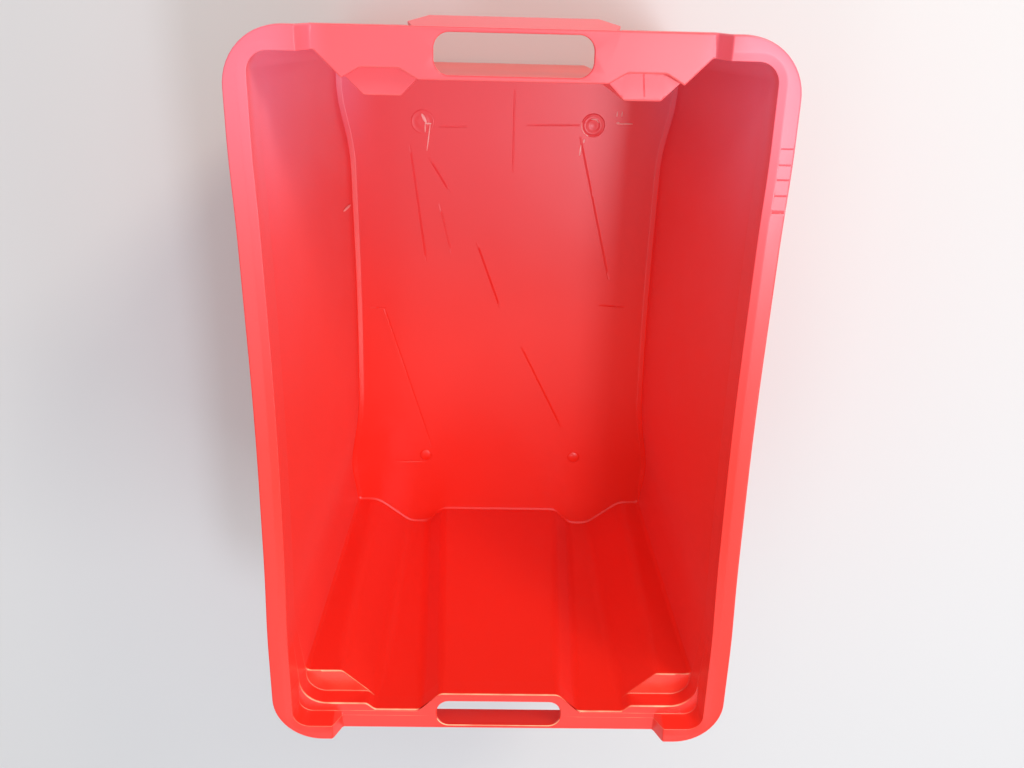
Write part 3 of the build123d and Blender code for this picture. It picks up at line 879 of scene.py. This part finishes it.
def makePolyethylene():
    material, tree = newMaterial("mouldedPolyethyleneRed")
    place = addNode(tree, "ShaderNodeTexCoord")
    patch = addNode(tree, "ShaderNodeTexNoise", links={"Vector": (place, "Object")},
                    inputs={"Scale": perMetre(polyethylene["patchMm"]), "Detail": 3.0})
    colour = addNode(tree, "ShaderNodeMix", {"data_type": "RGBA"}, links={0: (patch, "Fac")}, inputs={
        colourA: linear(polyethylene["deepRed"]), colourB: linear(polyethylene["red"])})
    axes = addNode(tree, "ShaderNodeSeparateXYZ", links={"Vector": (place, "Object")})
    # ramps of the painted haze: towards the rear end, and for the corners further back and below the rim top
    hazeRamps = {}
    for name, (axis, begin, full) in polyethylene["hazeRamps"].items():
        hazeRamps[name] = addNode(tree, "ShaderNodeMapRange", {"interpolation_type": "SMOOTHSTEP"},
                               {"From Min": begin * mm, "From Max": full * mm}, {"Value": (axes, axis)})
    hazeRamps["below"].inputs["To Min"].default_value = polyethylene["rimShare"]
    hazeShare = addNode(tree, "ShaderNodeAttribute", {"attribute_name": "hazeWeight"})
    rearHaze = addNode(tree, "ShaderNodeMath", {"operation": "MULTIPLY"},
                    links={0: (hazeShare, "Fac"), 1: (hazeRamps["rearHaze"], "Result")})
    hazedColour = addNode(tree, "ShaderNodeMix", {"data_type": "RGBA"}, {colourB: linear(polyethylene["paintedHaze"])},
                      {0: (rearHaze, "Value"), colourA: (colour, mixedColour)})
    reach = addNode(tree, "ShaderNodeMath", {"operation": "ABSOLUTE"}, links={0: (axes, "X")})
    begin, full = polyethylene["aside"]
    aside = addNode(tree, "ShaderNodeMapRange", {"interpolation_type": "SMOOTHSTEP"},
                    {"From Min": begin * mm, "From Max": full * mm}, {"Value": (reach, "Value")})
    # painted haze in the two rear corners, with only a share of it on the top of the rim
    corner = rearHaze
    for mask in (aside, hazeRamps["below"], hazeRamps["rearward"]):
        corner = addNode(tree, "ShaderNodeMath", {"operation": "MULTIPLY"},
                         links={0: (corner, "Value"), 1: (mask, "Result")})
    cornerHazed = addNode(tree, "ShaderNodeMix", {"data_type": "RGBA"},
                    {colourB: linear(polyethylene["paintedCornerHaze"])},
                    {0: (corner, "Value"), colourA: (hazedColour, mixedColour)})
    # cream edges: rubbed wear with a painted highlight, broken up by noise
    edgeMark = addNode(tree, "ShaderNodeAttribute", {"attribute_name": "wearAndHighlight"})
    edgeNoise = addNode(tree, "ShaderNodeTexNoise", links={"Vector": (place, "Object")},
                  inputs={"Scale": perMetre(polyethylene["edgeNoiseMm"]), "Detail": 2.0})
    begin, full = polyethylene["edgeNoiseRange"]
    edgeBreakup = addNode(tree, "ShaderNodeMapRange", links={"Value": (edgeNoise, "Fac")}, inputs={
        "From Min": begin, "From Max": full, "To Min": polyethylene["edgeNoiseLeast"]})
    share = addNode(tree, "ShaderNodeMath", {"operation": "MULTIPLY"},
                    links={0: (edgeMark, "Fac"), 1: (edgeBreakup, "Result")})
    edged = addNode(tree, "ShaderNodeMix", {"data_type": "RGBA"}, {colourB: linear(polyethylene["wornAndHighlit"])},
                    {0: (share, "Value"), colourA: (cornerHazed, mixedColour)})
    peel = addNode(tree, "ShaderNodeTexNoise", links={"Vector": (place, "Object")},
                   inputs={"Scale": perMetre(polyethylene["peelMm"]), "Detail": 2.0})
    swell = addNode(tree, "ShaderNodeTexNoise", links={"Vector": (place, "Object")},
                    inputs={"Scale": perMetre(polyethylene["swellMm"]), "Detail": 1.0})
    wave = addNode(tree, "ShaderNodeBump", links={"Height": (swell, "Fac")}, inputs={
        "Strength": polyethylene["swellStrength"], "Distance": polyethylene["swellDepthMm"] * mm})
    bump = addNode(tree, "ShaderNodeBump", links={
        "Height": (peel, "Fac"), "Normal": (wave, "Normal")}, inputs={
        "Strength": polyethylene["peelStrength"], "Distance": polyethylene["peelDepthMm"] * mm})
    dullest, waxiest = polyethylene["roughness"]
    rough = addNode(tree, "ShaderNodeMapRange", links={"Value": (patch, "Fac")},
                    inputs={"To Min": waxiest, "To Max": dullest})
    shader = addNode(tree, "ShaderNodeBsdfPrincipled", links={
        "Base Color": (edged, mixedColour), "Roughness": (rough, "Result"),
        "Normal": (bump, "Normal")}, inputs={
        "IOR": polyethylene["ior"], "Sheen Weight": polyethylene["dust"],
        "Sheen Tint": linear(polyethylene["dustTint"])})
    addNode(tree, "ShaderNodeOutputMaterial", links={"Surface": (shader, "BSDF")})
    return material


# the same plastic where it is chafed: stress-whitened in uneven streaks, with a fibrous, dull surface; its
# pale colour is also a painted highlight on the right rear pip's edges and on the wall burr
chafedAndHighlit = {"pale": "#ffe4dd", "reddish": "#ffb8ab", "streakMm": 3.0, "fibreDepthMm": 0.15,
          "fibreStrength": 0.3, "roughness": 0.35}


def makeChafedAndHighlit():
    material, tree = newMaterial("chafedAndHighlitPolyethylene")
    place = addNode(tree, "ShaderNodeTexCoord")
    streak = addNode(tree, "ShaderNodeTexNoise", links={"Vector": (place, "Object")},
                     inputs={"Scale": perMetre(chafedAndHighlit["streakMm"]), "Detail": 2.0})
    colour = addNode(tree, "ShaderNodeMix", {"data_type": "RGBA"}, links={0: (streak, "Fac")}, inputs={
        colourA: linear(chafedAndHighlit["pale"]), colourB: linear(chafedAndHighlit["reddish"])})
    fibre = addNode(tree, "ShaderNodeBump", links={"Height": (streak, "Fac")}, inputs={
        "Strength": chafedAndHighlit["fibreStrength"], "Distance": chafedAndHighlit["fibreDepthMm"] * mm})
    shader = addNode(tree, "ShaderNodeBsdfPrincipled", links={
        "Base Color": (colour, mixedColour), "Normal": (fibre, "Normal")}, inputs={
        "Roughness": chafedAndHighlit["roughness"], "IOR": polyethylene["ior"]})
    addNode(tree, "ShaderNodeOutputMaterial", links={"Surface": (shader, "BSDF")})
    return material


# plain pale studio floor
studio = {"floorColour": "#d4d4d4", "floorRoughness": 0.8, "floorSize": 8.0, "worldColour": "#eef0f2",
          "worldStrength": 0.66}


def makeStudio():
    material, tree = newMaterial("paleStudioFloor")
    shader = addNode(tree, "ShaderNodeBsdfPrincipled", inputs={
        "Base Color": linear(studio["floorColour"]), "Roughness": studio["floorRoughness"]})
    addNode(tree, "ShaderNodeOutputMaterial", links={"Surface": (shader, "BSDF")})
    bm = bmesh.new()
    bmesh.ops.create_grid(bm, x_segments=1, y_segments=1, size=studio["floorSize"] / 2)
    floor = finishMesh(bm, "studioFloor", material)
    world = bpy.data.worlds.new("studioWorld")
    world.use_nodes = True
    world.node_tree.nodes["Background"].inputs["Color"].default_value = linear(studio["worldColour"])
    world.node_tree.nodes["Background"].inputs["Strength"].default_value = studio["worldStrength"]
    bpy.context.scene.world = world


# soft boxes: place and aim in metres, width and length in metres, power in watts
softBoxes = {
    "keyBox": {"place": (0.9, 1.4, 1.3), "aim": (0.0, -0.15, 0.2), "size": (0.4, 0.4), "power": 11,
               "colour": "#ffefd8"},
    "rearStrip": {"place": (0.25, 1.35, 1.75), "aim": (0.0, -0.15, 0.2), "size": (1.8, 0.4), "power": 9.5,
                  "colour": "#fff8ee"},
    "topBox": {"place": (0.3, 0.35, 2.5), "aim": (0.3, 0.35, 0.0), "size": (1.5, 0.8), "power": 2.0,
               "colour": "#e8f0ff"},
    "cornerBox": {"place": (0.67, -0.05, 2.5), "aim": (0.67, -0.05, 0.0), "size": (0.28, 0.55), "power": 14,
                  "colour": "#e8f0ff"},
    "rightStrip": {"place": (0.85, -0.75, 2.4), "aim": (0.85, -0.75, 0.0), "size": (0.5, 1.8), "power": 3.5,
                   "colour": "#f4f6ff"},
    "leftStrip": {"place": (-0.8, -0.75, 2.4), "aim": (-0.8, -0.75, 0.0), "size": (0.5, 1.8), "power": 4.5,
                  "colour": "#f4f6ff"},
    "sideStrip": {"place": (1.6, -0.7, 1.9), "aim": (-0.15, -0.05, 0.1), "size": (1.4, 0.5), "power": 14.5,
                  "colour": "#ffffff"},
    "frontBox": {"place": (0.0, -2.2, 2.5), "aim": (0.0, 0.0, 0.2), "size": (1.6, 1.0), "power": 6,
                 "colour": "#f4f6ff"},
}


def makeLights():
    for name, box in softBoxes.items():
        lamp = bpy.data.lights.new(name, "AREA")
        lamp.shape = "RECTANGLE"
        lamp.size, lamp.size_y = box["size"]
        lamp.energy = box["power"]
        lamp.color = linear(box["colour"])[:3]
        holder = bpy.data.objects.new(name, lamp)
        holder.location = box["place"]
        aim = Vector(box["aim"]) - Vector(box["place"])
        holder.rotation_euler = aim.to_track_quat("-Z", "Y").to_euler()
        holder.visible_camera = False
        bpy.context.scene.collection.objects.link(holder)


# camera matched to the photograph: place, sensor and nearest distance in millimetres, turns in degrees, focal
# length in pixels
view = {"place": (-13.08, 339.64, 1055.14), "yaw": 1.376, "pitch": 22.422, "roll": -1.483,
        "focalPixels": 1015.0, "imageWidth": 1024, "sensor": 36.0, "nearest": 10.0}


def makeCamera():
    lens = bpy.data.cameras.new("photoCamera")
    lens.sensor_fit = "HORIZONTAL"
    lens.sensor_width = view["sensor"]
    lens.lens = lens.sensor_width * view["focalPixels"] / view["imageWidth"]
    lens.clip_start = view["nearest"] * mm
    camera = bpy.data.objects.new("photoCamera", lens)
    turn = Matrix.Rotation(radians(-view["yaw"]), 3, "Y") @ Matrix.Rotation(radians(-view["pitch"]), 3, "X")
    turn = turn @ Matrix.Rotation(radians(-view["roll"]), 3, "Z")
    camera.matrix_world = Matrix.Translation(Vector(view["place"]) * mm) @ turn.to_4x4()
    bpy.context.scene.collection.objects.link(camera)
    bpy.context.scene.camera = camera


makeCamera()
makeStudio()
makeLights()
plastic = makePolyethylene()
print("camera, floor and light ready")
makeTubShell(plastic)
makeGrip("rearGrip", "rear_grip", 1, plastic)
makeGrip("frontGrip", "front_grip", -1, plastic)
makeGatePips(plastic)
makeBurrsAndHighlights(makeChafedAndHighlit())
for node in ("floor_ribs", "rim_gussets"):
    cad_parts[node].data.materials.clear()
    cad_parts[node].data.materials.append(plastic)
print("tub ready")

bpy.context.scene.view_settings.view_transform = "Standard"
